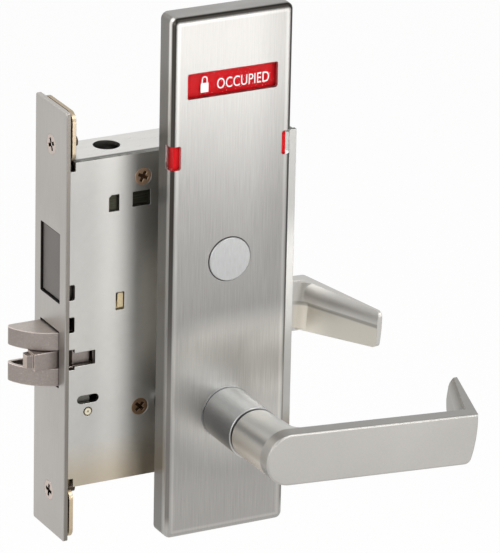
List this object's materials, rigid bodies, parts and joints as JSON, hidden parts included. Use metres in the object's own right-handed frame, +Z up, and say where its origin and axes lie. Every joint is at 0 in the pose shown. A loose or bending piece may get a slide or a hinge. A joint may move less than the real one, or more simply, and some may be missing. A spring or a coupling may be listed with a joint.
{
  "type": "privacy mortise lock",
  "caption": "Privacy mortise lock with an occupancy sign: mortise case, latch, deadbolt, long outside plate, lever pair and inside thumbturn.",
  "frame": {"origin": "centre of the armoured front's outer face", "axes": "+X into the door from the front, +Y from the outside trim to the inside trim, +Z up"},
  "size_m": [0.1988, 0.1781, 0.2473],
  "materials": {
    "front_steel": "satin, brushed along its length",
    "screw_copper": "copper-toned plated screw",
    "screw_dark": "dark bronze-toned plated screw",
    "gold_bracket": "golden passivated steel",
    "case_steel": "zinc-plated sheet, satin",
    "inner_steel": "plain machined steel",
    "dark_steel": "dark olive phosphated steel",
    "brass_tab": "plain brass strip",
    "bolt_steel": "satin nickel-toned bolt",
    "spring_wire": "bright spring wire",
    "plate_steel": "satin, brushed along its length",
    "lever_steel": "fine satin",
    "button_steel": "fine satin, turned edge",
    "sign_red": "red sign panel",
    "sign_green": "green sign panel",
    "clear_lens": "clear window",
    "slide_plastic": "black moulded slide"
  },
  "bodies": {
    "lock": {"armor_front": "front_steel", "front_screws": "screw_copper", "front_brackets": "gold_bracket", "case_body": "case_steel", "case_cover": "case_steel", "cover_screws": "screw_copper", "cover_posts": "inner_steel", "guide_rivet": "inner_steel", "latch_guide": "inner_steel", "window_plate": "dark_steel", "bolt_guide": "brass_tab", "spring_stop": "inner_steel", "latch_spring": "spring_wire", "outside_escutcheon": "plate_steel", "side_lenses": "clear_lens", "sign_lens": "clear_lens", "escutcheon_back_plate": "inner_steel", "mounting_posts": "inner_steel", "indicator_guides": "inner_steel", "outside_collar": "lever_steel", "outside_lever_spring": "spring_wire", "inside_collar": "lever_steel", "inside_lever_spring": "spring_wire", "inside_rose": "lever_steel", "thumbturn_rose": "lever_steel", "inside_rose_plate": "inner_steel", "thumbturn_rose_plate": "inner_steel", "trim_bolts": "inner_steel"},
    "latch": {"latchbolt": "bolt_steel", "tongue_pin": "inner_steel"},
    "tongue": {"antifriction_tongue": "bolt_steel"},
    "deadbolt": {"deadbolt": "bolt_steel"},
    "thumbturn": {"thumbturn": "lever_steel", "thumbturn_spindle": "inner_steel", "deadbolt_hub": "inner_steel", "deadbolt_crank_pin": "inner_steel"},
    "inside_lever": {"inside_lever": "lever_steel", "inside_set_screw": "screw_dark", "inside_retaining_ring": "spring_wire", "inside_spindle": "inner_steel", "inside_hub": "inner_steel"},
    "outside_lever": {"outside_lever": "lever_steel", "outside_set_screw": "screw_dark", "outside_retaining_ring": "spring_wire", "outside_spindle": "inner_steel", "outside_hub": "inner_steel"},
    "emergency_turn": {"emergency_turn": "inner_steel", "emergency_spindle": "inner_steel", "emergency_hub": "inner_steel", "indicator_crank": "inner_steel"},
    "indicator": {"indicator_slide": "slide_plastic", "occupied_panel": "sign_red", "vacant_panel": "sign_green"},
    "privacy_catch": {"privacy_catch": "inner_steel"},
    "emergency_button": {"emergency_button": "button_steel"}
  },
  "joints": [
    {"name": "inside_lever_turn", "type": "hinge", "parent": "lock", "child": "inside_lever", "pos_m": [0.06985, 0.04, -0.0426], "axis": [0, 1, 0], "range_deg": [0, 45], "stiffness_Nm_per_rad": 0.8, "springref_deg": -34.38},
    {"name": "outside_lever_turn", "type": "hinge", "parent": "lock", "child": "outside_lever", "pos_m": [0.06985, -0.05, -0.0426], "axis": [0, 1, 0], "range_deg": [0, 45], "stiffness_Nm_per_rad": 0.8, "springref_deg": -34.38},
    {"name": "latch_slide", "type": "slide", "parent": "lock", "child": "latch", "axis": [1, 0, 0], "range_m": [0, 0.017], "deforming": ["latch_spring"]},
    {"name": "tongue_pivot", "type": "hinge", "parent": "latch", "child": "tongue", "pos_m": [0.0115, -0.0048, -0.016], "axis": [0, 0, -1], "range_deg": [0, 12], "stiffness_Nm_per_rad": 0.02, "springref_deg": -17.19},
    {"name": "deadbolt_slide", "type": "slide", "parent": "lock", "child": "deadbolt", "axis": [-1, 0, 0], "range_m": [0, 0.0254]},
    {"name": "thumbturn_turn", "type": "hinge", "parent": "lock", "child": "thumbturn", "pos_m": [0.06985, 0.03, 0.0306], "axis": [0, 1, 0], "range_deg": [0, 90]},
    {"name": "indicator_slide_up", "type": "slide", "parent": "lock", "child": "indicator", "axis": [0, 0, 1], "range_m": [0, 0.015]},
    {"name": "emergency_turn_turn", "type": "hinge", "parent": "lock", "child": "emergency_turn", "pos_m": [0.06985, -0.03, 0.0306], "axis": [0, -1, 0], "range_deg": [0, 90]},
    {"name": "privacy_catch_lift", "type": "slide", "parent": "lock", "child": "privacy_catch", "axis": [0, 0, 1], "range_m": [0, 0.005]},
    {"name": "emergency_button_pull", "type": "slide", "parent": "lock", "child": "emergency_button", "axis": [0, -1, 0], "range_m": [0, 0.014]}
  ],
  "couplings": [
    {"joint": "latch_slide", "follows": "inside_lever_turn", "m_per_rad": 0.021645},
    {"joint": "thumbturn_turn", "follows": "deadbolt_slide", "rad_per_m": 61.842},
    {"joint": "emergency_turn_turn", "follows": "indicator_slide_up", "rad_per_m": 104.72},
    {"joint": "privacy_catch_lift", "follows": "indicator_slide_up", "ratio": 0.33333}
  ]
}
